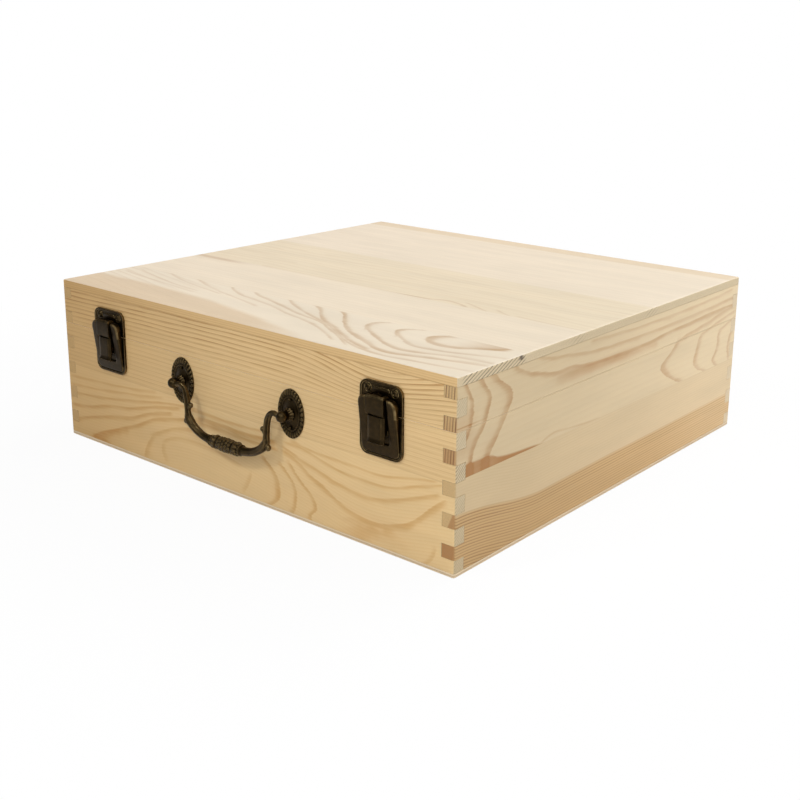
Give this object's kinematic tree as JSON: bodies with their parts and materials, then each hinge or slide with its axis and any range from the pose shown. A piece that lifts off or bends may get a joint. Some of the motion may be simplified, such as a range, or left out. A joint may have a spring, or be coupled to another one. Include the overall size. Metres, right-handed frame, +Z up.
{
  "type": "wooden storage box",
  "caption": "Shallow finger-jointed pine box with a hinged lid, two swinging hasps over a guarded catch and a cast bronze drop handle.",
  "frame": {"origin": "middle of the underside, on the surface that the box stands on", "axes": "+X to the right seen from the front, +Y to the back where the hinges are, +Z up through the lid"},
  "size_m": [0.4, 0.4022, 0.13],
  "materials": {
    "pine_walls": "unfinished sanded pine",
    "pine_top": "unfinished sanded pine, pale",
    "plywood": "thin unfinished plywood",
    "dark_bronze": "dark antique bronze plate",
    "worn_bronze": "antique bronze, worn bright on the edges",
    "screw_metal": "antique bronze screw heads and pins"
  },
  "bodies": {
    "base": {"base_front": "pine_walls", "base_back": "pine_walls", "base_left": "pine_walls", "base_right": "pine_walls", "base_panel": "plywood", "left_keeper_plate": "dark_bronze", "left_keeper_screw_1": "screw_metal", "left_keeper_screw_2": "screw_metal", "left_rosette": "dark_bronze", "left_rosette_screw_1": "screw_metal", "left_rosette_screw_2": "screw_metal", "left_handle_post": "worn_bronze", "left_hinge_base_leaf": "dark_bronze", "left_hinge_base_screw_1": "screw_metal", "left_hinge_base_screw_2": "screw_metal", "left_hinge_pin": "screw_metal", "right_keeper_plate": "dark_bronze", "right_keeper_screw_1": "screw_metal", "right_keeper_screw_2": "screw_metal", "right_rosette": "dark_bronze", "right_rosette_screw_1": "screw_metal", "right_rosette_screw_2": "screw_metal", "right_handle_post": "worn_bronze", "right_hinge_base_leaf": "dark_bronze", "right_hinge_base_screw_1": "screw_metal", "right_hinge_base_screw_2": "screw_metal", "right_hinge_pin": "screw_metal"},
    "lid": {"lid_front": "pine_walls", "lid_back": "pine_walls", "lid_left": "pine_walls", "lid_right": "pine_walls", "lid_top": "pine_top", "left_hasp_plate": "dark_bronze", "left_hasp_screw_1": "screw_metal", "left_hasp_screw_2": "screw_metal", "left_hasp_pin": "screw_metal", "left_hinge_lid_leaf": "dark_bronze", "left_hinge_lid_screw_1": "screw_metal", "left_hinge_lid_screw_2": "screw_metal", "right_hasp_plate": "dark_bronze", "right_hasp_screw_1": "screw_metal", "right_hasp_screw_2": "screw_metal", "right_hasp_pin": "screw_metal", "right_hinge_lid_leaf": "dark_bronze", "right_hinge_lid_screw_1": "screw_metal", "right_hinge_lid_screw_2": "screw_metal"},
    "bail": {"handle_bail": "worn_bronze"},
    "left_hasp": {"left_hasp": "worn_bronze"},
    "right_hasp": {"right_hasp": "worn_bronze"}
  },
  "joints": [
    {"name": "lid_hinge", "type": "hinge", "parent": "base", "child": "lid", "pos_m": [0, 0.1939, 0.0953], "axis": [-1, 0, 0], "range_deg": [0, 180]},
    {"name": "bail_swing", "type": "hinge", "parent": "base", "child": "bail", "pos_m": [0.0025, -0.2003, 0.076], "axis": [-1, 0, 0], "range_deg": [0, 180]},
    {"name": "left_hasp_swing", "type": "hinge", "parent": "lid", "child": "left_hasp", "pos_m": [-0.1391, -0.1956, 0.1053], "axis": [-1, 0, 0], "range_deg": [0, 95]},
    {"name": "right_hasp_swing", "type": "hinge", "parent": "lid", "child": "right_hasp", "pos_m": [0.1409, -0.1956, 0.1053], "axis": [-1, 0, 0], "range_deg": [0, 95]}
  ]
}
